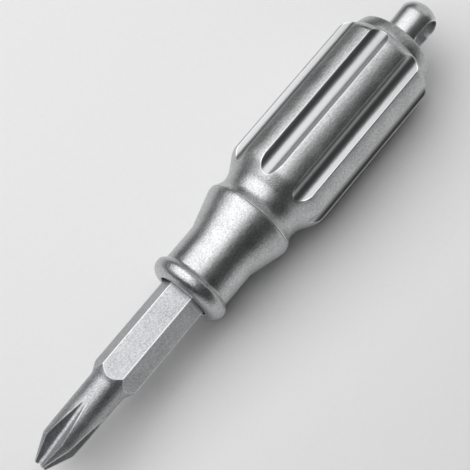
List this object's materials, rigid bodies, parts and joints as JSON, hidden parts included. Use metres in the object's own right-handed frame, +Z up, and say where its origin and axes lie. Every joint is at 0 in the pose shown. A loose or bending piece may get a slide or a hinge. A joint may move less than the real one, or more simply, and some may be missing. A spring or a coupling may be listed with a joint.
{
  "type": "keychain screwdriver",
  "caption": "Short all-metal screwdriver with a cross-point hexagon bit, a spring-return release collar, a fluted grip and a swivelling key-ring eye.",
  "frame": {"origin": "midway along the tool, on the surface that it lies on", "axes": "+X along the tool towards the key-ring eye, +Y along the key-ring hole, +Z up"},
  "size_m": [0.0878, 0.0162, 0.0161],
  "materials": {
    "bit_steel": "fine blasted steel",
    "satin_steel": "satin stainless",
    "polished_steel": "bright stainless",
    "plain_steel": "turned",
    "spring_steel": "drawn wire",
    "dark_steel": "blackened",
    "plated_magnet": "nickel plated",
    "bronze": "sintered bronze",
    "rubber": "matt"
  },
  "bodies": {
    "grip": {"grip_barrel": "satin_steel", "socket_core": "plain_steel", "bit_retaining_ring": "spring_steel", "bit_magnet": "plated_magnet", "drive_dowels": "plain_steel", "core_lock_washer": "spring_steel", "core_screw": "dark_steel", "spring_stop_ring": "spring_steel", "spring_seat_washer": "plain_steel", "collar_spring": "spring_steel", "end_cap": "satin_steel", "cap_o_ring": "rubber", "eye_bush": "bronze", "eye_thrust_washer": "plain_steel", "eye_disc_spring": "spring_steel"},
    "bit": {"driver_bit": "bit_steel"},
    "collar": {"release_collar": "satin_steel", "collar_bush": "bronze"},
    "eye": {"swivel_eye": "polished_steel", "eye_clip": "spring_steel"}
  },
  "joints": [
    {"name": "bit_slide", "type": "slide", "parent": "grip", "child": "bit", "axis": [-1, 0, 0], "range_m": [0, 0.021], "deforming": ["bit_retaining_ring"]},
    {"name": "collar_slide", "type": "slide", "parent": "grip", "child": "collar", "axis": [-1, 0, 0], "range_m": [0, 0.003], "stiffness_N_per_m": 150, "springref_m": -0.0085, "deforming": ["collar_spring"]},
    {"name": "eye_swivel", "type": "hinge", "parent": "grip", "child": "eye", "pos_m": [0.04072, 0, 0.00806], "axis": [1, 0, 0], "continuous": true}
  ]
}
